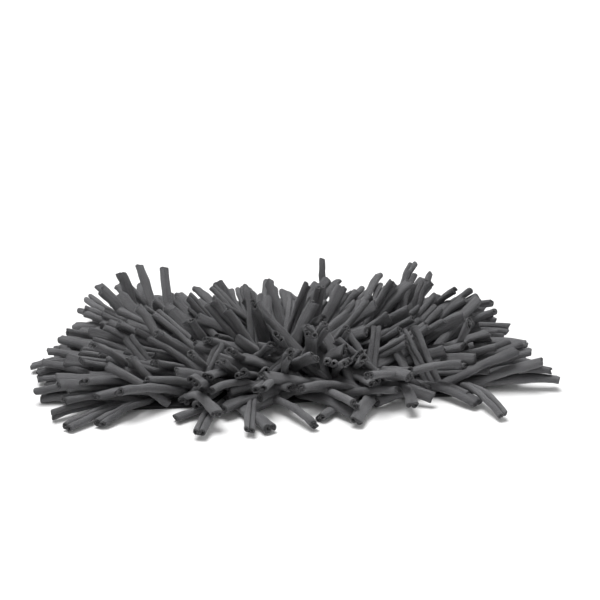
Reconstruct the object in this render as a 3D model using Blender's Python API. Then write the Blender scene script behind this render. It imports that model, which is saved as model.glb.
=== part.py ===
"""Snuffle mat: a flat woven base sheet carrying rows of charcoal knit strips.

Metres, +Z up. X runs along the long side of the base, Y across it, and -Y is
the front. The origin is the middle of the base's flat underside, on the floor.

The strips are looped through the base in rows. Each row is one comb here: a
band of strip roots standing on the base, and teeth that leave the band's
outer face, lie over the row outside it and fall towards the floor, the way
thatch lies. Rows are numbered by course: course 1 is rooted along the rim and
its teeth lie on the floor past the base, course 2 lies over course 1, course 3
over course 2. An open channel is left down the middle, between the two
course 3 rows, where treats are dropped in.
"""
import math

import bmesh
import bpy
from mathutils import Vector

# ---------------------------------------------------------------- sizes (m)
BASE_LENGTH = 0.457        # along X, 18 in
BASE_WIDTH = 0.305         # along Y, 12 in
BASE_THICK = 0.004
BASE_CORNER_R = 0.024
CORNER_STEPS = 6

GAP = 0.0003               # clearance between touching pieces
STRIP_W = 0.0170           # a tooth is one strip, this wide where it leaves the band
TIP_W = 0.0158
TOOTH_H = 0.0120           # how thick a strip lies, its two rolled edges down
EDGE_H = 0.30              # half height of a tooth's long edges, share of its height
FAN_POWER = 1.35           # how the fan grows from the middle of a comb to its ends
LENGTH_JITTER = 0.013      # how uneven the tips are, + and -
SWAY_JITTER = math.radians(1.6)
TOP_JITTER = 0.0022        # how far a band's top dips between strips

# The four sides: the direction along the band, and outward.
SIDES = {
    "front": (Vector((1, 0, 0)), Vector((0, -1, 0))),
    "right": (Vector((0, 1, 0)), Vector((1, 0, 0))),
    "back": (Vector((-1, 0, 0)), Vector((0, 1, 0))),
    "left": (Vector((0, -1, 0)), Vector((-1, 0, 0))),
}

# One row of the table for each comb. inner and outer are the band's two faces,
# measured from the middle of the mat; top is the height of the band's top; fan
# is how far, in degrees, the end teeth lean away along the band.
COMBS = [
    # name,           side,    length, inner,  outer,  top,    teeth, course, fan
    ("course1_front", "front", 0.430, 0.1055, 0.1470, 0.0185, 21, 1, 44.0),
    ("course1_back",  "back",  0.430, 0.1055, 0.1470, 0.0185, 21, 1, 44.0),
    ("course1_left",  "left",  0.208, 0.1800, 0.2205, 0.0185, 10, 1, 37.0),
    ("course1_right", "right", 0.208, 0.1800, 0.2205, 0.0185, 10, 1, 37.0),
    ("course2_front", "front", 0.336, 0.0555, 0.0990, 0.0460, 16, 2, 46.0),
    ("course2_back",  "back",  0.336, 0.0555, 0.0990, 0.0460, 16, 2, 46.0),
    ("course2_left",  "left",  0.108, 0.1340, 0.1740, 0.0460, 5, 2, 30.0),
    ("course2_right", "right", 0.108, 0.1340, 0.1740, 0.0460, 5, 2, 30.0),
    ("course3_front", "front", 0.256, 0.0100, 0.0510, 0.0700, 12, 3, 50.0),
    ("course3_back",  "back",  0.256, 0.0100, 0.0510, 0.0700, 12, 3, 50.0),
]

# How the teeth of each course lie: distance out from the band's face, height
# of the tooth's middle line, and the tooth's height there as a share.
LIE = {
    1: [
        # reach,  height,  share
        (0.016, 0.0122, 1.00),
        (0.038, 0.0092, 1.00),
        (0.064, 0.0074, 1.00),
        (0.091, 0.0068, 0.95),
    ],
    2: [
        (0.034, 0.0400, 1.00),
        (0.072, 0.0360, 1.00),
        (0.108, 0.0340, 0.95),
    ],
    3: [
        (0.032, 0.0665, 1.00),
        (0.068, 0.0640, 1.00),
        (0.102, 0.0605, 0.95),
    ],
}
# How far the tips of a comb reach, as a share of the full reach: place along
# the comb from -1 to 1, then the share. A comb that isn't here is even.
OUTLINE = {
    "course1_front": [(-1.00, 1.05), (-0.84, 0.80), (-0.58, 0.66), (-0.48, 1.00), (0.28, 1.02), (0.42, 0.80),
                      (0.52, 0.50), (0.82, 0.50), (0.90, 0.80), (1.00, 1.00)],
    "course2_front": [(-1.00, 1.00), (0.20, 1.00), (0.50, 0.86), (1.00, 0.90)],
    "course1_left": [(-1.00, 0.80), (-0.40, 0.78), (0.00, 0.95), (1.00, 1.02)],
    "course1_right": [(-1.00, 1.26), (-0.70, 1.18), (-0.35, 1.00), (1.00, 0.90)],
    "course2_right": [(-1.00, 1.12), (0.00, 1.00), (1.00, 0.95)],
}
# A strip that stands up out of its row instead: height is above the band's top.
STAND = [
    # reach,  height,  share
    (0.013, 0.0005, 0.96),
    (0.027, 0.0175, 0.94),
    (0.037, 0.0350, 0.94),
]
# A strip that sticks out above its neighbours, likewise.
STICK_OUT = [
    # reach,  height,  share
    (0.032, 0.0015, 1.00),
    (0.068, 0.0105, 1.00),
    (0.100, 0.0200, 0.95),
]
# Which teeth stand or stick out, counted along the band from 0.
STANDING = {
    "course3_back": (3, 8, 11),
    "course3_front": (8,),
    "course2_right": (1,),
    "course2_left": (1,),
}
STICKING_OUT = {
    "course2_back": (15,),
    "course2_left": (0, 3),
    "course2_right": (4,),
}


def ripple(name, k):
    """A number from -1 to 1 that differs from tooth to tooth in no plain order."""
    seed = sum((i + 3) * ord(c) for i, c in enumerate(name))
    return math.sin(1.7 + seed * 0.37 + k * 2.399963) * math.cos(seed * 0.11 + k * 1.13)


def outline_share(name, place):
    rows = OUTLINE.get(name)
    if not rows:
        return 1.0
    for (p0, s0), (p1, s1) in zip(rows, rows[1:]):
        if place <= p1:
            return s0 + (s1 - s0) * max(0.0, (place - p0) / (p1 - p0))
    return rows[-1][1]


def turned(direction, angle):
    c, s = math.cos(angle), math.sin(angle)
    return Vector((direction.x * c - direction.y * s, direction.x * s + direction.y * c, 0.0))


def tooth_ring(bm, middle, across, up, width, height):
    """Six points round a tooth: flat-sided, fuller in the middle than at its edges."""
    points = []
    for u, h in ((-0.5, -EDGE_H), (0.0, -0.5), (0.5, -EDGE_H), (0.5, EDGE_H), (0.0, 0.5), (-0.5, EDGE_H)):
        points.append(bm.verts.new(middle + across * (u * width) + up * (h * height)))
    return points


def bridge(bm, a, b):
    for i in range(len(a)):
        j = (i + 1) % len(a)
        bm.faces.new((a[i], a[j], b[j], b[i]))


def material(name, colour, roughness):
    m = bpy.data.materials.new(name)
    m.use_nodes = True
    shader = m.node_tree.nodes["Principled BSDF"]
    shader.inputs["Base Color"].default_value = (*colour, 1.0)
    shader.inputs["Roughness"].default_value = roughness
    shader.inputs["Metallic"].default_value = 0.0
    m.diffuse_color = (*colour, 1.0)
    return m


def add_object(name, bm, mat, parent):
    bmesh.ops.recalc_face_normals(bm, faces=bm.faces[:])
    mesh = bpy.data.meshes.new(name)
    bm.to_mesh(mesh)
    bm.free()
    mesh.materials.append(mat)
    obj = bpy.data.objects.new(name, mesh)
    bpy.context.scene.collection.objects.link(obj)
    obj.parent = parent
    return obj


def make_base(mat, parent):
    """The flat sheet that every strip is looped through, with rounded corners."""
    bm = bmesh.new()
    rim = []
    corners = ((1, 1, 0), (-1, 1, 90), (-1, -1, 180), (1, -1, 270))
    for sx, sy, start in corners:
        cx = sx * (BASE_LENGTH / 2 - BASE_CORNER_R)
        cy = sy * (BASE_WIDTH / 2 - BASE_CORNER_R)
        for i in range(CORNER_STEPS + 1):
            a = math.radians(start + 90 * i / CORNER_STEPS)
            rim.append(bm.verts.new((cx + BASE_CORNER_R * math.cos(a), cy + BASE_CORNER_R * math.sin(a), 0)))
    under = bm.faces.new(rim)
    top = bmesh.ops.extrude_face_region(bm, geom=[under])
    bmesh.ops.translate(
        bm, vec=(0, 0, BASE_THICK), verts=[v for v in top["geom"] if isinstance(v, bmesh.types.BMVert)]
    )
    return add_object("base_sheet", bm, mat, parent)


def make_comb(row, mat, parent):
    name, side, length, inner, outer, top, teeth, course, fan = row
    along, outward = SIDES[side]
    bm = bmesh.new()
    low = BASE_THICK + GAP
    pitch = length / teeth
    spare = (pitch - STRIP_W) / 2

    def profile(u, dip):
        """The band's section at one place along it, from its inner foot round to its inner top."""
        crown = top - TOP_JITTER * dip
        section = (
            (inner, low),
            (outer, low),
            (outer, top - TOOTH_H),
            (outer, top),
            ((inner + outer) / 2, crown + 0.0015),
            (inner, crown - 0.0035),
        )
        return [bm.verts.new(along * u + outward * v + Vector((0, 0, z))) for v, z in section]

    # Band sections: at each tooth's two edges and its middle, and at the band's ends.
    sections, kinds = [], []
    u = -length / 2
    sections.append(profile(u, 1.0))
    for k in range(teeth):
        start = u + k * pitch + spare
        for j, at in enumerate((start, start + STRIP_W / 2, start + STRIP_W)):
            sections.append(profile(at, 0.9 if j != 1 else 0.35 + 0.45 * ripple(name, k)))
            kinds.append("gap" if j == 0 else "tooth")
    sections.append(profile(length / 2, 1.0))
    kinds.append("gap")

    for (a, b), kind in zip(zip(sections, sections[1:]), kinds):
        for i in range(6):
            j = (i + 1) % 6
            if kind == "tooth" and i == 2:
                continue        # the tooth leaves the band here
            bm.faces.new((a[i], a[j], b[j], b[i]))
    bm.faces.new(sections[0])
    bm.faces.new(sections[-1])

    for k in range(teeth):
        first, middle, last = sections[3 * k + 1], sections[3 * k + 2], sections[3 * k + 3]
        ring = [first[2], middle[2], last[2], last[3], middle[3], first[3]]
        at = u + (k + 0.5) * pitch
        root = along * at + outward * outer
        if k in STANDING.get(name, ()):
            lie = [(r, top + h, share) for r, h, share in STAND]
        elif k in STICKING_OUT.get(name, ()):
            lie = [(r, top + h, share) for r, h, share in STICK_OUT]
        else:
            reaches = outline_share(name, at / (length / 2))
            lie = [(r * reaches, h, share) for r, h, share in LIE[course]]
        askew = math.copysign(math.radians(fan) * (abs(at) / (length / 2)) ** FAN_POWER, at)
        # along is outward turned a quarter turn, so a positive turn leans towards +along
        heading = turned(outward, askew + SWAY_JITTER * ripple(name + "s", k))
        stretch = 1.0 + LENGTH_JITTER * ripple(name + "l", k) / lie[-1][0]
        line = [Vector((0.0, top - TOOTH_H / 2))] + [Vector((r * stretch, z)) for r, z, _ in lie]
        for s in range(1, len(line)):
            share = lie[s - 1][2]
            ahead = (line[min(s + 1, len(line) - 1)] - line[s - 1]).normalized()
            across = turned(heading, math.pi / 2)
            up = Vector((0, 0, 1)) * ahead.x - heading * ahead.y
            width = STRIP_W + (TIP_W - STRIP_W) * s / (len(line) - 1)
            middle_point = root + heading * line[s].x + Vector((0, 0, line[s].y))
            new = tooth_ring(bm, middle_point, across, up, width, TOOTH_H * share)
            bridge(bm, ring, new)
            ring = new
        bm.faces.new(ring)
    return add_object(name, bm, mat, parent)


def main():
    for obj in list(bpy.data.objects):
        bpy.data.objects.remove(obj, do_unlink=True)
    base_mat = material("base_woven", (0.018, 0.018, 0.019), 0.92)
    strip_mat = material("strip_knit", (0.085, 0.085, 0.088), 0.88)
    mat_root = bpy.data.objects.new("snuffle_mat", None)
    bpy.context.scene.collection.objects.link(mat_root)
    make_base(base_mat, mat_root)
    for row in COMBS:
        make_comb(row, strip_mat, mat_root)


main()
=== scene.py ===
"""Looks of the snuffle mat: the woven base sheet and every knit strip on it.

Metres, +Z up, -Y is the front. The strips are laid by a small rod simulation:
each starts as a straight strip standing out of its place in the base, falls
under its own weight, bends, and comes to lie on its neighbours, on the base or
on the floor. Each settled middle line then carries the strip's real section, a
flat strip of knit whose two long edges have curled in.
"""
import math

import bpy
import numpy as np
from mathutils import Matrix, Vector


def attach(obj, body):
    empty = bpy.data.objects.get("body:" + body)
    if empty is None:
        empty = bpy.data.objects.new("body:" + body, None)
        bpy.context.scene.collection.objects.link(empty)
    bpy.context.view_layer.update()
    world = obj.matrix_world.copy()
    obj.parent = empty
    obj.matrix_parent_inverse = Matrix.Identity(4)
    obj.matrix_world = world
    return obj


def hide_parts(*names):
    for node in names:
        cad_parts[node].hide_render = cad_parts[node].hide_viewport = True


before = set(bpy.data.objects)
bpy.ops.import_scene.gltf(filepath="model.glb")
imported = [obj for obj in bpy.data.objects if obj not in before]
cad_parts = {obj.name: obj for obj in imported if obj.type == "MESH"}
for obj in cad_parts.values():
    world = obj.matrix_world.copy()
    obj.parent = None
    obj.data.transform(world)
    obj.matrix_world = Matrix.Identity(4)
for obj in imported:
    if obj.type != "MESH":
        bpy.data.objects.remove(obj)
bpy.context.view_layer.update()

SEED = 58

# ------------------------------------------------------------ camera and light
CAM_AZIMUTH = -6.0          # degrees, to the left of square on
CAM_ELEVATION = 18.0
CAM_DISTANCE = 1.30
CAM_TARGET = Vector((0.0185, 0.0, 0.081))
CAM_LENS = 58.7             # on a 36 mm sensor, square frame


def make_camera():
    a, e = math.radians(CAM_AZIMUTH), math.radians(CAM_ELEVATION)
    back = Vector((math.sin(a) * math.cos(e), -math.cos(a) * math.cos(e), math.sin(e)))
    data = bpy.data.cameras.new("camera")
    data.lens = CAM_LENS
    data.sensor_width = 36.0
    data.clip_end = 500.0
    cam = bpy.data.objects.new("camera", data)
    bpy.context.scene.collection.objects.link(cam)
    cam.location = CAM_TARGET + back * CAM_DISTANCE
    cam.rotation_euler = back.to_track_quat("Z", "Y").to_euler()
    bpy.context.scene.camera = cam


def sun(name, toward, spread, power):
    data = bpy.data.lights.new(name, "SUN")
    data.angle = math.radians(spread)
    data.energy = power
    lamp = bpy.data.objects.new(name, data)
    bpy.context.scene.collection.objects.link(lamp)
    lamp.rotation_euler = Vector(toward).to_track_quat("Z", "Y").to_euler()
    return lamp


def make_light():
    world = bpy.data.worlds.new("studio")
    bpy.context.scene.world = world
    world.use_nodes = True
    sky = world.node_tree.nodes["Background"]
    sky.inputs["Color"].default_value = (1.0, 1.0, 1.0, 1.0)
    sky.inputs["Strength"].default_value = 0.57
    # what shows past the floor's edge is plain white, as a studio's paper is
    tree = world.node_tree
    paper = tree.nodes.new("ShaderNodeBackground")
    paper.inputs["Color"].default_value = (1.0, 1.0, 1.0, 1.0)
    paper.inputs["Strength"].default_value = 1.0
    seen = tree.nodes.new("ShaderNodeLightPath")
    either = tree.nodes.new("ShaderNodeMixShader")
    tree.links.new(seen.outputs["Is Camera Ray"], either.inputs[0])
    tree.links.new(sky.outputs[0], either.inputs[1])
    tree.links.new(paper.outputs[0], either.inputs[2])
    tree.links.new(either.outputs[0], tree.nodes["World Output"].inputs["Surface"])
    sun("key", (-0.14, 0.1, 1.0), 36.0, 2.85)
    bpy.context.scene.view_settings.view_transform = "Standard"
    bpy.context.scene.view_settings.look = "None"


def make_floor():
    mesh = bpy.data.meshes.new("floor")
    s = 150.0
    mesh.from_pydata([(-s, -s, 0), (s, -s, 0), (s, s, 0), (-s, s, 0)], [], [(0, 1, 2, 3)])
    floor = bpy.data.objects.new("floor", mesh)
    bpy.context.scene.collection.objects.link(floor)
    floor.location.z = -0.0004
    m = bpy.data.materials.new("floor_paper")
    m.use_nodes = True
    shader = m.node_tree.nodes["Principled BSDF"]
    shader.inputs["Base Color"].default_value = (0.90, 0.90, 0.90, 1)
    shader.inputs["Roughness"].default_value = 0.9
    shader.inputs["Specular IOR Level"].default_value = 0.1
    mesh.materials.append(m)


# --------------------------------------------------------------- the strips
BASE_LENGTH, BASE_WIDTH, BASE_THICK, BASE_CORNER_R = 0.457, 0.305, 0.004, 0.024
STRIP_LENGTH = 0.102        # out of the base
CLOTH_THICK = 0.0022
ROLL_R = 0.0028             # middle of the cloth, round each curled edge
ROLL_APART = 0.0035         # from the strip's middle to the middle of each roll
HALF_W = ROLL_APART + ROLL_R + CLOTH_THICK / 2
HALF_T = ROLL_R + CLOTH_THICK / 2

# One row of the table for each row of strips, on the places that the combs
# hold: half length along the base, inner and outer edge of the band, lines of
# strips across it and strips along it.
GROUPS = [
    # name,    side,    half,   inner,  outer,  lines, along
    ("course1", "front", 0.2150, 0.1055, 0.1470, 3, 22),
    ("course1", "back",  0.2150, 0.1055, 0.1470, 2, 27),
    ("course1", "left",  0.1040, 0.1800, 0.2205, 3, 13),
    ("course1", "right", 0.1040, 0.1800, 0.2205, 3, 13),
    ("course2", "front", 0.1680, 0.0555, 0.0990, 3, 19),
    ("course2", "back",  0.1680, 0.0555, 0.0990, 2, 21),
    ("course2", "left",  0.0540, 0.1340, 0.1740, 3, 7),
    ("course2", "right", 0.0540, 0.1340, 0.1740, 3, 7),
    ("course3", "front", 0.1280, 0.0040, 0.0510, 3, 16),
    ("course3", "back",  0.1280, 0.0040, 0.0510, 3, 16),
]
SIDES = {
    "front": (np.array([1.0, 0, 0]), np.array([0, -1.0, 0])),
    "right": (np.array([0, 1.0, 0]), np.array([1.0, 0, 0])),
    "back": (np.array([-1.0, 0, 0]), np.array([0, 1.0, 0])),
    "left": (np.array([0, -1.0, 0]), np.array([-1.0, 0, 0])),
}
# How the pile is combed: a place on the base, the way the strips go there in
# degrees round from +X, how far they stray from it, how far they lean from
# upright before they settle, and how far in mm their tips can sag from there
# before their own stiffness holds them up.
COMB_OUT = [
    # x,     y,   heading, stray, lean, sag
    (-0.20, 0.12, 138, 7, 74, 60),
    (-0.21, 0.00, 182, 6, 79, 60),
    (-0.20, -0.12, 208, 7, 84, 60),
    (-0.13, 0.12, 118, 8, 70, 50),
    (-0.13, 0.04, 148, 9, 68, 45),
    (-0.13, -0.04, 186, 8, 73, 60),
    (-0.13, -0.13, 216, 14, 80, 40),
    (-0.05, 0.13, 99, 10, 70, 40),
    (-0.05, 0.03, 140, 26, 62, 40),
    (-0.06, -0.05, 228, 50, 62, 22),
    (-0.05, -0.13, 258, 44, 64, 16),
    (-0.08, 0.00, 182, 45, 60, 30),
    (0.00, 0.00, 80, 120, 52, 16),
    (0.08, 0.00, 0, 45, 60, 30),
    (0.04, 0.13, 83, 10, 72, 40),
    (0.04, 0.03, 50, 30, 62, 40),
    (0.04, -0.05, 290, 58, 60, 20),
    (0.04, -0.13, 276, 46, 64, 16),
    (0.12, 0.13, 64, 8, 79, 60),
    (0.13, 0.04, 20, 8, 72, 60),
    (0.13, -0.05, 350, 26, 70, 30),
    (0.12, -0.13, 312, 38, 70, 20),
    (0.20, 0.12, 38, 7, 83, 60),
    (0.21, 0.00, 2, 7, 79, 60),
    (0.20, -0.12, 332, 12, 83, 60),
]
# Strips that stand out one by one: where each leaves the base, where its cut
# end is, how much it arches in between, which side is up (0 the back, 180 the
# open side), and how much wider than the rest it is, all along and at the cut.
SINGLE_STRIPS = [
    # root x, y,   tip x, y, z,   arch, roll, width, flare
    (-0.217, -0.050, -0.318, -0.057, 0.014, 0.008, 180, 1.00, 0.06),
    (-0.217, -0.095, -0.310, -0.059, 0.028, 0.007, 10, 1.00, 0.00),
    (-0.209, -0.057, -0.304, -0.056, 0.040, 0.009, 0, 1.00, 0.00),
    (-0.205, -0.099, -0.305, -0.078, 0.010, 0.006, 90, 1.00, 0.00),
    (-0.205, -0.123, -0.309, -0.118, 0.014, 0.009, 20, 1.00, 0.00),
    (-0.207, -0.112, -0.299, -0.114, 0.006, 0.007, 20, 1.05, 0.10),
    (-0.178, -0.141, -0.272, -0.167, 0.022, 0.008, 180, 1.05, 0.05),
    (-0.196, -0.122, -0.286, -0.175, 0.006, 0.003, 60, 1.00, 0.00),
    (-0.188, -0.133, -0.267, -0.204, 0.006, 0.004, 180, 1.00, 0.00),
    (-0.170, -0.129, -0.234, -0.196, 0.006, 0.005, 180, 0.95, 0.05),
    (-0.151, -0.127, -0.233, -0.174, 0.029, 0.008, 10, 1.05, 0.15),
    (-0.133, -0.124, -0.209, -0.180, 0.034, 0.008, 20, 1.00, 0.10),
    (-0.152, -0.117, -0.204, -0.066, 0.060, 0.000, 150, 1.00, 0.05),
    (-0.160, -0.128, -0.198, -0.115, 0.052, 0.002, 10, 1.00, 0.00),
    (-0.166, 0.069, -0.200, 0.148, 0.092, 0.004, 10, 0.85, 0.05),
    (-0.153, 0.055, -0.164, 0.137, 0.090, 0.002, 20, 0.90, 0.10),
    (-0.198, 0.129, -0.264, 0.194, 0.050, 0.003, 10, 1.10, 0.00),
    (-0.179, 0.112, -0.235, 0.175, 0.055, 0.004, 10, 1.00, 0.10),
    (-0.152, 0.078, -0.217, 0.140, 0.065, 0.003, 90, 1.00, 0.00),
    (-0.205, 0.064, -0.276, 0.104, 0.044, 0.004, 90, 1.00, 0.00),
    (-0.073, -0.147, -0.146, -0.193, 0.006, 0.002, 200, 1.00, 0.00),
    (-0.092, -0.145, -0.119, -0.239, 0.008, 0.006, 180, 1.00, 0.00),
    (-0.136, -0.134, -0.101, -0.219, 0.020, 0.013, 0, 1.00, 0.00),
    (-0.052, -0.139, -0.063, -0.238, 0.008, 0.008, 180, 0.85, 0.00),
    (-0.083, -0.147, -0.038, -0.233, 0.008, 0.004, 10, 1.00, 0.20),
    (-0.028, -0.146, -0.090, -0.190, 0.006, 0.006, 0, 1.00, 0.00),
    (-0.036, -0.126, -0.102, -0.180, 0.030, 0.013, 20, 1.10, 0.30),
    (-0.007, -0.127, -0.082, -0.162, 0.020, 0.008, 30, 1.10, 0.30),
    (-0.058, -0.147, -0.141, -0.146, 0.044, 0.009, 10, 1.00, 0.25),
    (-0.126, -0.146, -0.092, -0.095, 0.058, 0.003, 170, 0.90, 0.10),
    (-0.033, -0.105, -0.116, -0.086, 0.054, 0.013, 0, 0.95, 0.00),
    (0.026, -0.128, -0.063, -0.107, 0.042, 0.009, 5, 1.00, 0.10),
    (0.045, -0.120, -0.039, -0.096, 0.050, 0.010, 80, 1.00, 0.00),
    (-0.066, -0.141, 0.003, -0.115, 0.053, 0.001, 170, 1.00, 0.05),
    (-0.038, -0.145, 0.010, -0.230, 0.006, 0.009, 150, 0.90, 0.05),
    (0.074, -0.147, 0.020, -0.209, 0.006, 0.002, 20, 1.00, 0.00),
    (0.001, -0.139, 0.057, -0.211, 0.006, 0.007, 10, 1.00, 0.00),
    (0.100, -0.147, 0.059, -0.227, 0.006, 0.007, 0, 1.05, 0.05),
    (0.161, -0.143, 0.091, -0.179, 0.008, 0.004, 60, 1.00, 0.00),
    (0.125, -0.113, 0.128, -0.202, 0.012, 0.012, 0, 1.00, 0.05),
    (0.068, -0.138, 0.155, -0.178, 0.010, 0.010, 60, 1.00, 0.00),
    (0.018, -0.146, 0.113, -0.185, 0.026, 0.003, 0, 0.95, 0.00),
    (0.084, -0.147, 0.003, -0.185, 0.030, 0.009, 30, 1.10, 0.20),
    (-0.047, -0.147, 0.036, -0.168, 0.023, 0.004, 0, 1.10, 0.20),
    (0.118, -0.147, 0.052, -0.105, 0.059, 0.004, 75, 1.00, 0.05),
    (0.077, -0.136, 0.039, -0.078, 0.064, 0.000, 10, 1.00, 0.12),
    (0.081, -0.120, 0.127, -0.183, 0.039, 0.012, 10, 1.10, 0.25),
    (0.142, -0.113, 0.210, -0.190, 0.007, 0.007, 0, 1.00, 0.15),
    (0.201, -0.125, 0.230, -0.224, 0.006, 0.011, 180, 0.95, 0.00),
    (0.216, -0.130, 0.326, -0.143, 0.012, 0.006, 10, 1.10, 0.10),
    (0.212, -0.122, 0.315, -0.140, 0.022, 0.009, 0, 1.00, 0.00),
    (0.206, -0.133, 0.303, -0.142, 0.037, 0.002, 10, 1.00, 0.05),
    (0.173, -0.138, 0.270, -0.139, 0.050, 0.004, 0, 1.10, 0.10),
    (0.181, -0.049, 0.259, -0.007, 0.075, 0.006, 5, 0.95, 0.00),
    (0.196, 0.006, 0.278, -0.021, 0.062, 0.007, 0, 0.95, 0.20),
    (0.179, -0.147, 0.155, -0.085, 0.068, 0.000, 80, 0.90, 0.05),
    (0.170, -0.147, 0.142, -0.085, 0.063, 0.000, 100, 0.90, 0.05),
    (0.109, -0.144, 0.070, -0.082, 0.063, 0.000, 65, 1.00, 0.05),
    (0.089, -0.139, 0.110, -0.069, 0.065, 0.000, 170, 0.90, 0.05),
    (0.042, -0.130, 0.019, -0.065, 0.065, 0.000, 10, 1.00, 0.12),
    (0.145, -0.147, 0.128, -0.085, 0.049, 0.000, 20, 1.00, 0.10),
    (-0.154, -0.147, -0.225, -0.140, 0.052, 0.004, 5, 1.15, 0.05),
    (-0.099, -0.101, -0.177, -0.076, 0.060, 0.007, 0, 1.10, 0.00),
    (-0.199, -0.056, -0.290, -0.037, 0.050, 0.009, 0, 1.10, 0.00),
    (0.204, -0.114, 0.301, -0.105, 0.036, 0.005, 0, 1.05, 0.00),
    (0.195, -0.118, 0.290, -0.098, 0.046, 0.006, 0, 1.05, 0.00),
    (0.143, 0.104, 0.226, 0.123, 0.062, 0.002, 60, 1.00, 0.00),
    (0.098, -0.138, 0.194, -0.155, 0.041, 0.012, 0, 1.05, 0.12),
    (0.157, -0.134, 0.079, -0.196, 0.050, 0.010, 10, 1.00, 0.25),
    (-0.060, -0.109, -0.091, -0.160, 0.060, 0.004, 10, 1.00, 0.05),
    (-0.071, -0.082, -0.107, -0.180, 0.050, 0.008, 10, 1.00, 0.05),
    (-0.093, -0.092, -0.121, -0.140, 0.060, 0.004, 170, 0.95, 0.05),
    (-0.048, -0.071, -0.078, -0.133, 0.062, 0.004, 190, 0.95, 0.05),
]
# How far the cut ends of all the others reach, going round from the left.
REACH = [
    # x,      y
    (-0.318, -0.062), (-0.302, -0.128), (-0.272, -0.172), (-0.225, -0.180), (-0.180, -0.190), (-0.140, -0.215),
    (0.150, -0.215), (0.195, -0.190), (0.230, -0.184), (0.270, -0.176), (0.300, -0.150), (0.318, -0.110),
    (0.318, -0.040), (0.306, 0.030), (0.282, 0.082), (0.246, 0.122), (0.210, 0.158), (0.168, 0.192), (0.100, 0.226),
    (0.000, 0.243), (-0.100, 0.240), (-0.190, 0.228), (-0.250, 0.200), (-0.272, 0.130), (-0.286, 0.060), (-0.304, 0.000),
]
# Along the front they end above the base's edge, or past it only as far as they are raised.
FRONT_END, FRONT_SLOPE = -0.158, 2.6
# How low the pile was pressed: within this much of its middle either way, to
# this height, and this much lower for each metre past that.
PRESSED = (0.150, 0.095, 0.084, 0.34)
POINTS = 13                 # of a strip's middle line in the simulation
MOST_BOW = 1.1              # half the curvature, per metre, that lying on others gives a strip


def unit(v):
    return v / np.maximum(np.linalg.norm(v, axis=-1, keepdims=True), 1e-9)


def to_outline(root, way):
    """How far it is from each place to the pile's outline, in each heading."""
    a = np.array(REACH)
    b = np.roll(a, -1, axis=0)
    d = np.stack([np.cos(way), np.sin(way)], axis=1)[:, None, :]
    side = (b - a)[None]
    off = a[None] - root[:, None, :2]
    cross = d[..., 0] * side[..., 1] - d[..., 1] * side[..., 0]
    cross = np.where(np.abs(cross) < 1e-9, 1e-9, cross)
    far = (off[..., 0] * side[..., 1] - off[..., 1] * side[..., 0]) / cross
    along = (off[..., 0] * d[..., 1] - off[..., 1] * d[..., 0]) / cross
    return np.where((far > 0) & (along >= 0) & (along <= 1), far, 9.0).min(axis=1)


def plant():
    """Where each strip leaves the base, which way it first goes, and its own small differences."""
    rng = np.random.default_rng(SEED)
    rows = []
    for g, (course, side, half, inner, outer, lines, count) in enumerate(GROUPS):
        along, outward = SIDES[side]
        for line in range(lines):
            for k in range(count):
                u = (-1 + 2 * (k + 0.5 + 0.5 * (line % 2 - 0.5)) / count) * half + rng.normal(0, 0.0022)
                v = inner + (line + 0.5) / lines * (outer - inner) + rng.normal(0, 0.0018)
                rows.append((g, along * u + outward * v + np.array([0, 0, BASE_THICK])))
    group = np.array([r[0] for r in rows])
    root = np.array([r[1] for r in rows])
    n = len(root)
    # each strip follows the places of the comb-out table that are near it
    table = np.array(COMB_OUT)
    off = root[:, None, :2] - table[None, :, :2]
    weight = np.exp(-(off**2).sum(-1) / (2 * 0.036**2))
    weight /= weight.sum(1, keepdims=True)
    turn = np.radians(table[:, 2])
    heading = np.arctan2(weight @ np.sin(turn), weight @ np.cos(turn))
    stray = weight @ table[:, 3]
    heading = heading + np.radians(stray) * rng.normal(size=n)
    tilt = np.radians(weight @ table[:, 4] + rng.normal(0, 1.0, n) * (2.0 + 0.08 * stray))
    sag = weight @ table[:, 5] / 1000
    tilt = np.clip(tilt, math.radians(40), math.radians(86))
    length = np.clip(STRIP_LENGTH * (1 + 0.07 * rng.normal(size=n)), 0.094, 0.130)
    # none reaches past the pile's outline: a strip that would is turned aside, as little as it takes
    reach = length * np.sin(tilt)
    spare = rng.normal(0, 0.005, n)
    raised = np.maximum(length * np.cos(tilt) - 0.6 * sag, 0.0)
    front = FRONT_END - FRONT_SLOPE * np.maximum(raised - 0.012, 0.0) - 0.5 * np.abs(spare)
    best = np.full(n, -9.0)
    chosen = heading.copy()
    for aside in sorted(range(-75, 76, 5), key=abs):
        way = heading + math.radians(aside)
        room = to_outline(root, way) + spare
        ahead = -np.sin(way)
        room = np.where(ahead > 0.02, np.minimum(room, (root[:, 1] - front) / np.maximum(ahead, 0.02)), room)
        score = np.minimum(room - reach, 0.0) * 10 - abs(aside) * 0.0006
        better = score > best + 1e-9
        best = np.where(better, score, best)
        chosen = np.where(better, way, chosen)
    heading = chosen
    length = np.clip(np.minimum(length, (to_outline(root, heading) + spare + 0.004) / np.sin(tilt)), 0.080, None)
    heading = np.stack([np.cos(heading), np.sin(heading), np.zeros(n)], axis=1)
    return rng, group, root, heading, tilt, length, sag, stray


def frames(line, first, roll, turn):
    """The width and thickness directions of each piece of each strip, twisted by roll + turn along it."""
    tangent = unit(line[:, 1:] - line[:, :-1])
    thick = np.empty_like(tangent)
    t = first
    for i in range(tangent.shape[1]):
        t = unit(t - (t * tangent[:, i]).sum(-1, keepdims=True) * tangent[:, i])
        thick[:, i] = t
    wide = np.cross(thick, tangent)
    share = np.linspace(0, 1, tangent.shape[1])[None, :]
    a = (roll[:, None] + turn[:, None] * share)[..., None]
    return tangent, wide * np.cos(a) + thick * np.sin(a), thick * np.cos(a) - wide * np.sin(a)


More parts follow.
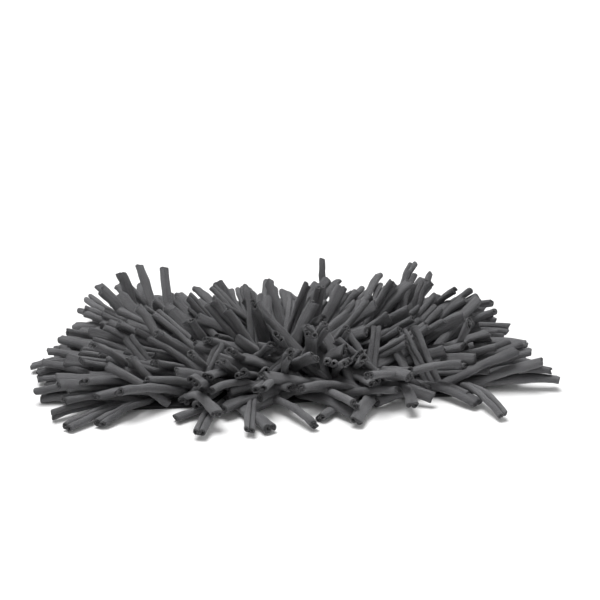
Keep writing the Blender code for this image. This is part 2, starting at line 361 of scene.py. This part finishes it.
def settle(line, length, first, roll, turn, bow, hold, pull, give, steps):
    """Lets the strips fall and come to lie on one another.

    Past its first short piece a strip is a springy rod: a straight line and a
    slight bow. Each step lowers every rod a little, pushes apart what has come
    too near, and then fits each rod to where its points have been pushed.
    """
    n, points = line.shape[:2]
    target = line.copy()
    piece = length / (points - 1)
    reach = (piece * (points - 2))[:, None, None]
    u = np.linspace(0, 1, points - 1)[1:]
    basis = np.stack([u, u * u], axis=1)
    fit = np.linalg.pinv(basis)
    owner = np.repeat(np.arange(n), points - 1)
    start = (np.arange(n)[:, None] * points + np.arange(points - 1)[None, :]).reshape(-1)
    flat_free = np.ones((n, points))
    flat_free[:, :2] = 0.0
    flat_free = flat_free.reshape(-1)
    on_base = np.array([BASE_LENGTH / 2, BASE_WIDTH / 2])
    pairs = None
    for step in range(steps):
        fall = 0.0007 if step < steps * 0.6 else 0.0004
        # the strips start thin and swell, so that each finds its way over or under the ones it crosses
        swell = 0.35 + 0.65 * min(1.0, step / (0.4 * steps))
        half_w, half_t = HALF_W * 0.94 * swell, HALF_T * 0.86 * swell
        before = line.copy()
        line[:, 2:, 2] -= fall * hold[:, None] * np.linspace(0.3, 1.0, points - 2)[None, :]
        tangent, wide, thick = frames(line, first, roll, turn)
        if step % 4 == 0:
            mid = ((line[:, 1:] + line[:, :-1]) / 2).reshape(-1, 3).astype(np.float32)
            near = 0.017 + 0.014 + 0.005
            found = []
            sq = (mid**2).sum(1)
            for b in range(0, len(mid), 600):
                d2 = sq[b:b + 600, None] + sq[None, :] - 2 * mid[b:b + 600] @ mid.T
                i, j = np.nonzero(d2 < near * near)
                i = i + b
                keep = (i < j) & (owner[i] != owner[j])
                found.append(np.stack([i[keep], j[keep]]))
            pairs = np.concatenate(found, axis=1)
        flat_wide, flat_thick = wide.reshape(-1, 3), thick.reshape(-1, 3)
        for again in range(4):
            p = line.reshape(-1, 3)
            i, j = pairs
            a0, a1, b0, b1 = p[start[i]], p[start[i] + 1], p[start[j]], p[start[j] + 1]
            d1, d2, r = a1 - a0, b1 - b0, a0 - b0
            a = (d1 * d1).sum(1)
            e = (d2 * d2).sum(1)
            f = (d2 * r).sum(1)
            c = (d1 * r).sum(1)
            b = (d1 * d2).sum(1)
            s = np.clip((b * f - c * e) / np.maximum(a * e - b * b, 1e-12), 0, 1)
            t = np.clip((b * s + f) / e, 0, 1)
            s = np.clip((b * t - c) / a, 0, 1)
            gap = r + s[:, None] * d1 - t[:, None] * d2
            far = np.linalg.norm(gap, axis=1)
            near = far < 2 * half_w
            i, j, s, t, gap, far = i[near], j[near], s[near], t[near], gap[near], far[near]
            way = gap / np.maximum(far, 1e-6)[:, None]
            lost = far < 5e-4
            way[lost] = np.where(owner[i][lost] > owner[j][lost], 1.0, -1.0)[:, None] * np.array([0, 0, 1.0])
            # near the base the soft strips are squeezed against each other
            soft_i = 0.8 + 0.2 * np.clip((start[i] % points + s) / (points - 1) / 0.3, 0, 1)
            soft_j = 0.8 + 0.2 * np.clip((start[j] % points + t) / (points - 1) / 0.3, 0, 1)
            need = soft_i * np.sqrt(
                (half_w * (way * flat_wide[i]).sum(1)) ** 2 + (half_t * (way * flat_thick[i]).sum(1)) ** 2
            ) + soft_j * np.sqrt(
                (half_w * (way * flat_wide[j]).sum(1)) ** 2 + (half_t * (way * flat_thick[j]).sum(1)) ** 2
            )
            need = np.maximum(need, 0.85 * half_t * (soft_i + soft_j))
            deep = need - far
            hit = deep > 0
            i, j, s, t, way, deep = i[hit], j[hit], s[hit], t[hit], way[hit], deep[hit]
            push = np.minimum(deep, 0.003)[:, None] * way
            mine = give[owner[i]] / (give[owner[i]] + give[owner[j]])
            total = np.zeros((len(p), 3))
            count = np.zeros(len(p))
            for at, share, part in (
                (start[i], 1 - s, mine), (start[i] + 1, s, mine), (start[j], 1 - t, mine - 1), (start[j] + 1, t, mine - 1),
            ):
                for axis in range(3):
                    total[:, axis] += np.bincount(at, part * share * push[:, axis], len(p))
                count += np.bincount(at, share, len(p))
            p = p + total / np.maximum(count, 1.0)[:, None] * 2.0 * flat_free[:, None]
            line = p.reshape(n, points, 3)
            # the floor, and the base on it
            low = np.sqrt((half_w * wide[..., 2]) ** 2 + (half_t * thick[..., 2]) ** 2)
            low = np.concatenate([low[:, :1], low], axis=1)
            over = (np.abs(line[..., 0]) < on_base[0] + 0.004) & (np.abs(line[..., 1]) < on_base[1] + 0.004)
            low = low + np.where(over, BASE_THICK, 0.0) + 0.0004
            lift = np.maximum(low - line[..., 2], 0.0)
            lift[:, :2] = 0.0
            line[..., 2] += lift * 1.3
            # the rod through those points
            knot = line[:, 1:2]
            coef = np.einsum("cp,npx->ncx", fit, line[:, 2:] - knot)
            ahead = unit(coef[:, 0])
            bend = coef[:, 1] / reach[:, 0] ** 2
            bend = bend - (bend * ahead).sum(1, keepdims=True) * ahead
            off = bend - bow
            size = np.linalg.norm(off, axis=1, keepdims=True)
            bend = bow + off * np.minimum(1.0, MOST_BOW / np.maximum(size, 1e-9))
            run = u[None, :, None] * reach
            # a rod that would dip into what is under it is turned up about its root
            dip = low[:, 2:] - (knot[..., 2] + ahead[:, None, 2] * run[..., 0] + bend[:, None, 2] * run[..., 0] ** 2)
            steeper = np.maximum(dip / run[..., 0], 0.0).max(axis=1)
            ahead[:, 2] += steeper * (hold > 0)
            ahead = unit(ahead)
            line = line.copy()
            line[:, 2:] = knot + ahead[:, None] * run + bend[:, None] * run**2
        line[:, 2:] += (target[:, 2:] - line[:, 2:]) * pull[:, None, None]
        # and the pile as a whole was pressed flat in its packing, the more so towards its rim
        past = np.maximum(np.maximum(np.abs(line[..., 0]) - PRESSED[0], np.abs(line[..., 1]) - PRESSED[1]), 0.0)
        high = np.maximum(line[..., 2] - (PRESSED[2] - PRESSED[3] * past), 0.0)
        line[:, 2:, 2] -= (0.25 * high * (hold > 0)[:, None])[:, 2:]
        # rubbing keeps a strip from sliding far sideways
        line[:, 2:, :2] = before[:, 2:, :2] * 0.35 + line[:, 2:, :2] * 0.65
    return line


def section(loose):
    """The strip's section: the middle of the cloth from one curled edge round the back to the other.

    The cloth of a tight roll closes right in on itself; that of a loose one stops part of the way round.
    """
    # how far round the roll, in degrees from the middle of the back, and how far from the roll's own middle
    spiral = [
        # tight,     loose
        (350, 0.12, 282, 0.86), (326, 0.34, 270, 0.96), (302, 0.58, 256, 1.02), (276, 0.80, 240, 1.06),
        (248, 0.94, 222, 1.08), (220, 1.00, 202, 1.08), (192, 1.02, 180, 1.06), (164, 1.01, 156, 1.03),
        (136, 1.00, 132, 1.00), (108, 1.00, 107, 0.98), (82, 1.00, 82, 0.98), (56, 1.00, 56, 0.98),
        (30, 1.00, 30, 0.98), (6, 1.01, 6, 1.00),
    ]
    right = np.array([
        (ROLL_APART + ROLL_R * far * math.sin(math.radians(angle)), ROLL_R * far * math.cos(math.radians(angle)))
        for angle, far in (row[2:] if loose else row[:2] for row in spiral)
    ])
    left = right[::-1] * np.array([-1, 1])
    middle = np.array([[0.0, ROLL_R * 1.03]])
    return np.concatenate([right, middle, left])


def outline(middle):
    """The closed outline of the cloth around its middle line, going once round: out one side, back the other."""
    ahead = np.gradient(middle, axis=0)
    ahead = ahead / np.linalg.norm(ahead, axis=1, keepdims=True)
    normal = np.stack([-ahead[:, 1], ahead[:, 0]], axis=1)
    one = middle + normal * CLOTH_THICK / 2
    two = middle - normal * CLOTH_THICK / 2
    return one, two


def resample(line, share):
    """A smooth middle line through the simulated points (Catmull-Rom), at the given shares of its length."""
    points = line.shape[1]
    at = share * (points - 1)
    k = np.minimum(at.astype(int), points - 2)
    f = (at - k)[None, :, None]
    ext = np.concatenate([2 * line[:, :1] - line[:, 1:2], line, 2 * line[:, -1:] - line[:, -2:-1]], axis=1)
    p0, p1, p2, p3 = ext[:, k], ext[:, k + 1], ext[:, k + 2], ext[:, k + 3]
    return 0.5 * (2 * p1 + (p2 - p0) * f + (2 * p0 - 5 * p1 + 4 * p2 - p3) * f**2 + (3 * p1 - p0 - 3 * p2 + p3) * f**3)


def strip_mesh(name, line, first, roll, turn, look):
    """One joined mesh of whole strips: a swept outline for each, closed at both ends."""
    rings = 17
    hearts, profiles = [], []
    for loose in (False, True):
        middle = section(loose)
        one, two = outline(middle)
        profiles.append(np.concatenate([one, two[::-1]]))            # closed loop
        hearts.append(np.concatenate([middle, middle[::-1]]))
    m = len(profiles[0])
    half = len(one)
    share = np.concatenate([np.linspace(0, 0.93, rings - 4), [0.962, 0.986, 0.996, 1.0]])[-rings:]
    line = resample(line, share)
    n = len(line)
    tangent = unit(np.gradient(line, axis=1))
    thick = np.empty_like(tangent)
    t = first
    for i in range(rings):
        t = unit(t - (t * tangent[:, i]).sum(-1, keepdims=True) * tangent[:, i])
        thick[:, i] = t
    wide = np.cross(thick, tangent)
    a = (roll[:, None] + turn[:, None] * share[None, :])[..., None]
    wide, thick = wide * np.cos(a) + thick * np.sin(a), thick * np.cos(a) - wide * np.sin(a)

    # how wide and thick each strip is along its length: squeezed where it comes through the base, its two
    # rolls never quite alike, dented here and there, and in many strips opening out towards the cut
    s = share[None, :]
    phase = look["phase"]
    wave = 0.045 * np.sin(s * 9 + phase[:, 0, None]) + 0.030 * np.sin(s * 21 + phase[:, 1, None])
    pinch = 0.76 + 0.24 * np.clip(s / 0.22, 0, 1)
    flare = 1 + look["flare"][:, None] * np.clip((s - 0.66) / 0.34, 0, 1) ** 1.5
    w = look["width"][:, None] * (1 + wave) * pinch * flare
    h = (1.05 + 0.5 * wave[:, ::-1]) * (0.90 + 0.10 * pinch) * (1 + 0.25 * (flare - 1))
    side = np.tanh(hearts[0][:, 0] / 0.0022)[None, None, :]
    # each of the two rolls is as loose as it likes, and looser towards the cut
    half_share = np.where(hearts[0][:, 0] > 0, look["loose"][:, 0, None], look["loose"][:, 1, None])[:, None, :]
    blend = (half_share * (0.45 + 0.55 * s[..., None]))[..., None]
    profile = profiles[0] + (profiles[1] - profiles[0]) * blend
    heart = hearts[0] + (hearts[1] - hearts[0]) * blend
    lop = look["lop"][:, None, None] + 0.05 * np.sin(s * 12 + phase[:, 2, None])[..., None]
    arc = np.concatenate([[0], np.cumsum(np.linalg.norm(np.diff(one, axis=0), axis=1))])
    around = np.concatenate([arc, arc[::-1]])
    dent = (np.sin(s[..., None] * 26 + around[None, None, :] * 620 + phase[:, 1, None, None])
            + np.sin(s[..., None] * -17 + around[None, None, :] * 410 + phase[:, 2, None, None]))
    shape = profile + 0.00026 * dent[..., None] * unit(profile - heart)
    # the cut edge is soft: the last rings close in on the middle of the cloth, and on each roll's own middle
    eye = np.stack([np.sign(hearts[0][:, 0]) * ROLL_APART, np.zeros(m)], axis=1)
    for ring, inward, shut in ((-2, 0.12, 0.02), (-1, 0.48, 0.08), (0, 0.20, 0.0)):
        shape[:, ring] += (heart[:, ring] - profile[:, ring]) * inward + (eye[None] - profile[:, ring]) * shut
    pu = shape[..., 0] * w[..., None] * (1 + lop * side)
    # the two rolls ride a little one above the other
    pt = shape[..., 1] * h[..., None] * (1 + 1.1 * lop * side) + 0.0006 * side * np.sin(s * 7 + phase[:, 3, None])[..., None]
    place = line[:, :, None, :] + pu[..., None] * wide[:, :, None, :] + pt[..., None] * thick[:, :, None, :]
    # and it isn't square: each strip was cut a little askew, and the cloth gives in between
    cut = look["cut"]
    flat_u, flat_t = profiles[0][None, :, 0], profiles[0][None, :, 1]
    lean = (cut[:, 0, None] * flat_u + cut[:, 1, None] * flat_t + 18.0 * cut[:, 2, None] * flat_u**2
            + 0.0009 * np.sin(around[None, :] * 330 + phase[:, 0, None])
            + 0.0007 * np.sin(around[None, :] * 790 + phase[:, 3, None]))
    for back, amount in ((1, 1.0), (2, 1.0), (3, 0.9), (4, 0.55), (5, 0.2)):
        place[:, -back] += amount * lean[..., None] * tangent[:, -back][:, None, :]
    verts = place.reshape(-1, 3)
    verts[:, 2] = np.maximum(verts[:, 2], 0.0003)     # flat where it lies on the floor

    r = np.arange(rings - 1)[:, None]
    c = np.arange(m)[None, :]
    quad = np.stack([r * m + c, r * m + (c + 1) % m, (r + 1) * m + (c + 1) % m, (r + 1) * m + c], axis=-1).reshape(-1, 4)
    cap_k = np.arange(half - 1)
    start_cap = np.stack([cap_k, m - 1 - cap_k, m - 2 - cap_k, cap_k + 1], axis=-1)
    end_cap = start_cap[:, ::-1] + (rings - 1) * m
    faces = np.concatenate([quad, start_cap, end_cap])
    faces = (faces[None] + (np.arange(n) * rings * m)[:, None, None]).reshape(-1, 4)

    mesh = bpy.data.meshes.new(name)
    mesh.vertices.add(len(verts))
    mesh.vertices.foreach_set("co", verts.astype(np.float32).reshape(-1))
    mesh.loops.add(faces.size)
    mesh.loops.foreach_set("vertex_index", faces.reshape(-1).astype(np.int32))
    mesh.polygons.add(len(faces))
    mesh.polygons.foreach_set("loop_start", np.arange(0, faces.size, 4, dtype=np.int32))
    mesh.polygons.foreach_set("use_smooth", np.ones(len(faces), dtype=bool))
    mesh.update(calc_edges=True)
    mesh.validate()

    # how far along the strip, how far round it, the strip's own tone, and painted shade: how much the colour is
    # darkened at the cut end and inside the rolls, where shade falls
    tone = look["tone"]
    # painted shade inside the rolls: the last four points of the cloth where each edge curls in, at 0.7 strength
    inside = np.clip((np.arange(half) < 4) * 1.0 + (np.arange(half) >= half - 4) * 1.0, 0, 1)
    # painted shade at the cut end, rising over the last rings
    painted_shade = np.clip((share - 0.984) / 0.012, 0, 1)
    values = {
        "along": (share[None, :, None] * STRIP_LENGTH + np.zeros((n, 1, m)) + 0.37 * tone[:, None, None]),
        "around": (around[None, None, :] + np.zeros((n, rings, 1)) + 0.21 * tone[:, None, None]),
        "tone": np.broadcast_to(tone[:, None, None], (n, rings, m)),
        "painted_shade": np.maximum(np.concatenate([inside, inside[::-1]])[None, None, :] * 0.7, painted_shade[None, :, None]) + np.zeros((n, 1, 1)),
    }
    for key, value in values.items():
        layer = mesh.attributes.new(key, "FLOAT", "POINT")
        layer.data.foreach_set("value", np.ascontiguousarray(value, dtype=np.float32).reshape(-1))
    obj = bpy.data.objects.new(name, mesh)
    bpy.context.scene.collection.objects.link(obj)
    return obj


# -------------------------------------------------------------- materials
def nodes_of(material):
    material.use_nodes = True
    tree = material.node_tree
    return tree, tree.nodes, tree.links, tree.nodes["Principled BSDF"]


def knit_material():
    m = bpy.data.materials.new("strip_knit_charcoal")
    tree, nodes, links, shader = nodes_of(m)
    shader.inputs["Roughness"].default_value = 0.96
    shader.inputs["Specular IOR Level"].default_value = 0.12
    shader.inputs["Sheen Weight"].default_value = 0.22
    shader.inputs["Sheen Roughness"].default_value = 0.60
    shader.inputs["Sheen Tint"].default_value = (0.55, 0.55, 0.57, 1.0)
    # light gets a few millimetres into the loose knit
    shader.inputs["Subsurface Weight"].default_value = 0.5
    shader.inputs["Subsurface Radius"].default_value = (1.0, 1.0, 1.0)
    shader.inputs["Subsurface Scale"].default_value = 0.004

    def attribute(name):
        node = nodes.new("ShaderNodeAttribute")
        node.attribute_name = name
        return node.outputs["Fac"]

    # the last attribute carries the painted shade at the cut ends and inside the rolls
    along, around, tone, painted_shade = attribute("along"), attribute("around"), attribute("tone"), attribute("painted_shade")

    def place(scale_along, scale_around):
        a = nodes.new("ShaderNodeMath")
        a.operation = "MULTIPLY"
        links.new(along, a.inputs[0])
        a.inputs[1].default_value = scale_along
        b = nodes.new("ShaderNodeMath")
        b.operation = "MULTIPLY"
        links.new(around, b.inputs[0])
        b.inputs[1].default_value = scale_around
        v = nodes.new("ShaderNodeCombineXYZ")
        links.new(a.outputs[0], v.inputs["X"])
        links.new(b.outputs[0], v.inputs["Y"])
        links.new(tone, v.inputs["Z"])
        return v.outputs[0]

    def noise(vector, scale, detail, rough):
        n = nodes.new("ShaderNodeTexNoise")
        n.inputs["Scale"].default_value = scale
        n.inputs["Detail"].default_value = detail
        n.inputs["Roughness"].default_value = rough
        links.new(vector, n.inputs["Vector"])
        spread = nodes.new("ShaderNodeMapRange")
        spread.inputs["From Min"].default_value = 0.32
        spread.inputs["From Max"].default_value = 0.68
        links.new(n.outputs["Fac"], spread.inputs["Value"])
        return spread.outputs["Result"]

    streaks = noise(place(16.0, 330.0), 1.0, 3.0, 0.6)      # drawn-out lines along the knit
    fibres = noise(place(900.0, 1500.0), 1.0, 2.0, 0.7)
    patches = noise(place(38.0, 60.0), 1.0, 2.0, 0.5)

    ramp = nodes.new("ShaderNodeValToRGB")
    ramp.color_ramp.elements[0].position = 0.0
    ramp.color_ramp.elements[0].color = (0.058, 0.058, 0.061, 1)
    ramp.color_ramp.elements[1].position = 1.0
    ramp.color_ramp.elements[1].color = (0.194, 0.194, 0.200, 1)
    total = None
    for source, weight in ((tone, 0.30), (streaks, 0.27), (patches, 0.25), (fibres, 0.18)):
        mul = nodes.new("ShaderNodeMath")
        mul.operation = "MULTIPLY_ADD"
        links.new(source, mul.inputs[0])
        mul.inputs[1].default_value = weight
        if total is None:
            mul.inputs[2].default_value = 0.0
        else:
            links.new(total, mul.inputs[2])
        total = mul.outputs[0]
    links.new(total, ramp.inputs["Fac"])
    # painted shade: the colour is darkened at the cut ends and inside the rolls, where shade falls
    painted_shade_mix = nodes.new("ShaderNodeMix")
    painted_shade_mix.data_type = "RGBA"
    painted_shade_mix.blend_type = "MULTIPLY"
    links.new(painted_shade, painted_shade_mix.inputs["Factor"])
    links.new(ramp.outputs["Color"], painted_shade_mix.inputs["A"])
    painted_shade_mix.inputs["B"].default_value = (0.40, 0.40, 0.40, 1)
    links.new(painted_shade_mix.outputs["Result"], shader.inputs["Base Color"])

    bump_in = nodes.new("ShaderNodeMath")
    bump_in.operation = "MULTIPLY_ADD"
    links.new(streaks, bump_in.inputs[0])
    bump_in.inputs[1].default_value = 0.6
    links.new(fibres, bump_in.inputs[2])
    bump = nodes.new("ShaderNodeBump")
    bump.inputs["Strength"].default_value = 0.85
    bump.inputs["Distance"].default_value = 0.0015
    links.new(bump_in.outputs[0], bump.inputs["Height"])
    links.new(bump.outputs["Normal"], shader.inputs["Normal"])
    return m


def weave_material():
    m = bpy.data.materials.new("base_weave_black")
    tree, nodes, links, shader = nodes_of(m)
    shader.inputs["Roughness"].default_value = 0.9
    shader.inputs["Specular IOR Level"].default_value = 0.2
    where = nodes.new("ShaderNodeTexCoord")
    waves = []
    for axis in ("X", "Y"):
        w = nodes.new("ShaderNodeTexWave")
        w.bands_direction = axis
        w.inputs["Scale"].default_value = 260.0
        w.inputs["Distortion"].default_value = 0.6
        w.inputs["Detail"].default_value = 1.0
        links.new(where.outputs["Object"], w.inputs["Vector"])
        waves.append(w.outputs["Fac"])
    both = nodes.new("ShaderNodeMath")
    both.operation = "MAXIMUM"
    links.new(waves[0], both.inputs[0])
    links.new(waves[1], both.inputs[1])
    ramp = nodes.new("ShaderNodeValToRGB")
    ramp.color_ramp.elements[0].color = (0.008, 0.008, 0.0085, 1)
    ramp.color_ramp.elements[1].color = (0.026, 0.026, 0.027, 1)
    links.new(both.outputs[0], ramp.inputs["Fac"])
    links.new(ramp.outputs["Color"], shader.inputs["Base Color"])
    bump = nodes.new("ShaderNodeBump")
    bump.inputs["Strength"].default_value = 0.7
    bump.inputs["Distance"].default_value = 0.0008
    links.new(both.outputs[0], bump.inputs["Height"])
    links.new(bump.outputs["Normal"], shader.inputs["Normal"])
    return m


def base_mesh():
    """The base sheet: rounded corners and a soft rounded edge."""
    rim = []
    for cx, cy, start in ((1, 1, 0), (-1, 1, 90), (-1, -1, 180), (1, -1, 270)):
        for i in range(13):
            a = math.radians(start + 90 * i / 12)
            rim.append((cx * (BASE_LENGTH / 2 - BASE_CORNER_R) + BASE_CORNER_R * math.cos(a),
                        cy * (BASE_WIDTH / 2 - BASE_CORNER_R) + BASE_CORNER_R * math.sin(a)))
    # more points along the straight edges
    full = []
    for (x0, y0), (x1, y1) in zip(rim, rim[1:] + rim[:1]):
        count = max(1, int(math.hypot(x1 - x0, y1 - y0) / 0.008))
        for i in range(count):
            full.append((x0 + (x1 - x0) * i / count, y0 + (y1 - y0) * i / count))
    full = np.array(full)
    inward = -full / np.linalg.norm(full, axis=1, keepdims=True)
    # rings from the middle of the top, over the edge, to the middle of the underside
    edge = [
        # inset, height
        (0.0900, 0.0040), (0.0500, 0.0040), (0.0250, 0.0040), (0.0060, 0.0040), (0.0016, 0.0038), (0.0004, 0.0030),
        (0.0000, 0.0018), (0.0005, 0.0007), (0.0020, 0.0000), (0.0060, 0.0000), (0.0300, 0.0000), (0.0900, 0.0000),
    ]
    verts, faces = [], []
    n = len(full)
    for inset, z in edge:
        for x, y in full + inward * inset:
            lift = 0.0
            verts.append((x, y, z + lift))
    for r in range(len(edge) - 1):
        for k in range(n):
            faces.append((r * n + k, (r + 1) * n + k, (r + 1) * n + (k + 1) % n, r * n + (k + 1) % n))
    faces.append(tuple(range(n)))
    faces.append(tuple((len(edge) - 1) * n + k for k in reversed(range(n))))
    mesh = bpy.data.meshes.new("base_cloth")
    mesh.from_pydata(verts, [], faces)
    for p in mesh.polygons:
        p.use_smooth = len(p.vertices) == 4
    obj = bpy.data.objects.new("base_cloth", mesh)
    bpy.context.scene.collection.objects.link(obj)
    return obj


def main():
    make_camera()
    make_light()
    make_floor()

    rng, group, root, heading, tilt, length, sag, stray = plant()
    n = len(root)
    up = np.array([0, 0, 1.0])
    # the single strips take the places of the ones planted nearest to them
    single = np.array(SINGLE_STRIPS)
    taken = []
    for row in single:
        far = np.linalg.norm(root[:, :2] - row[:2], axis=1)
        far[taken] = 9.0
        taken.append(int(np.argmin(far)))
    tip = np.zeros((n, 3))
    arch = np.zeros(n)
    root[taken, :2], tip[taken], arch[taken] = single[:, :2], single[:, 2:5], single[:, 5]
    chord = tip[taken] - root[taken]
    length[taken] = np.linalg.norm(chord, axis=1) * (1 + 2.6 * (arch[taken] / np.linalg.norm(chord, axis=1)) ** 2)
    flat = chord * np.array([1, 1, 0])
    heading[taken] = unit(flat)
    start = chord + up * 4 * arch[taken][:, None]
    tilt[taken] = np.arctan2(np.linalg.norm(start[:, :2], axis=1), start[:, 2])

    way = heading * np.sin(tilt)[:, None] + up * np.cos(tilt)[:, None]
    stub_tilt = tilt * 0.7
    stub_tilt[taken] = tilt[taken]
    stub = heading * np.sin(stub_tilt)[:, None] + up * np.cos(stub_tilt)[:, None]
    first = up * np.sin(stub_tilt)[:, None] - heading * np.cos(stub_tilt)[:, None]
    piece = length / (POINTS - 1)
    knot = root + stub * piece[:, None]
    run = np.arange(POINTS - 1)[None, :, None] * piece[:, None, None]
    # each has a slight bend of its own, and those at the rim droop
    rim = np.clip((np.maximum(np.abs(root[:, 0]) - 0.15, np.abs(root[:, 1]) - 0.08)) / 0.06, 0, 1)
    bow = rng.normal(0, 1, (n, 3)) * (0.35 + 0.012 * stray)[:, None] - up * 1.9 * rim[:, None]
    bow[taken] = -4 * arch[taken][:, None] * up / length[taken][:, None] ** 2
    bow -= (bow * way).sum(1, keepdims=True) * way
    line = np.concatenate([root[:, None], knot[:, None] + way[:, None] * run + bow[:, None] * run**2], axis=1)
    t = np.linspace(0, 1, POINTS)[None, :, None]
    line[taken] = root[taken][:, None] + chord[:, None] * t + up * 4 * arch[taken][:, None, None] * t * (1 - t)
    roll = np.where(rng.random(n) < 0.6, 0.0, math.pi) + rng.normal(0, 1, n) * (0.14 + 0.007 * stray)
    on_edge = rng.random(n) < stray / 450
    roll = np.where(on_edge, roll + math.pi / 2, roll)
    turn = rng.normal(0, 1, n) * (0.26 + 0.011 * stray)
    roll[taken] = np.radians(single[:, 6])
    turn[taken] *= 0.4
    hold = 500 * sag / (1 + 500 * sag)
    hold[taken] = 0.0
    pull = np.where(hold > 0, 0.35 * (1 - hold), 0.6)
    give = np.ones(n)
    give[taken] = 0.04
    line = settle(line, length, first, roll, turn, bow, hold, pull, give, 140)

    look = {
        "width": np.clip(1.03 + 0.08 * rng.normal(size=n), 0.86, 1.20),
        "flare": np.clip(rng.normal(0.08, 0.09, n), -0.05, 0.26),
        "lop": rng.normal(0, 0.09, n),
        "loose": np.clip(rng.normal(0.15, 0.40, (n, 2)), 0, 1),
        "cut": rng.normal(0, 1, (n, 3)) * np.array([0.14, 0.17, 0.7]),
        "phase": rng.random((n, 4)) * 6.283,
        "tone": rng.random(n),
    }
    look["width"][taken], look["flare"][taken] = single[:, 7], single[:, 8]
    knit = knit_material()
    for g, (course, side, *_rest) in enumerate(GROUPS):
        pick = group == g
        name = f"strips_{course}_{side}"
        obj = strip_mesh(
            name, line[pick], first[pick], roll[pick], turn[pick], {key: value[pick] for key, value in look.items()}
        )
        obj.data.materials.append(knit)
        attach(obj, "root")
        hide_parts(f"{course}_{side}")
    base = base_mesh()
    base.data.materials.append(weave_material())
    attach(base, "root")
    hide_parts("base_sheet")


main()
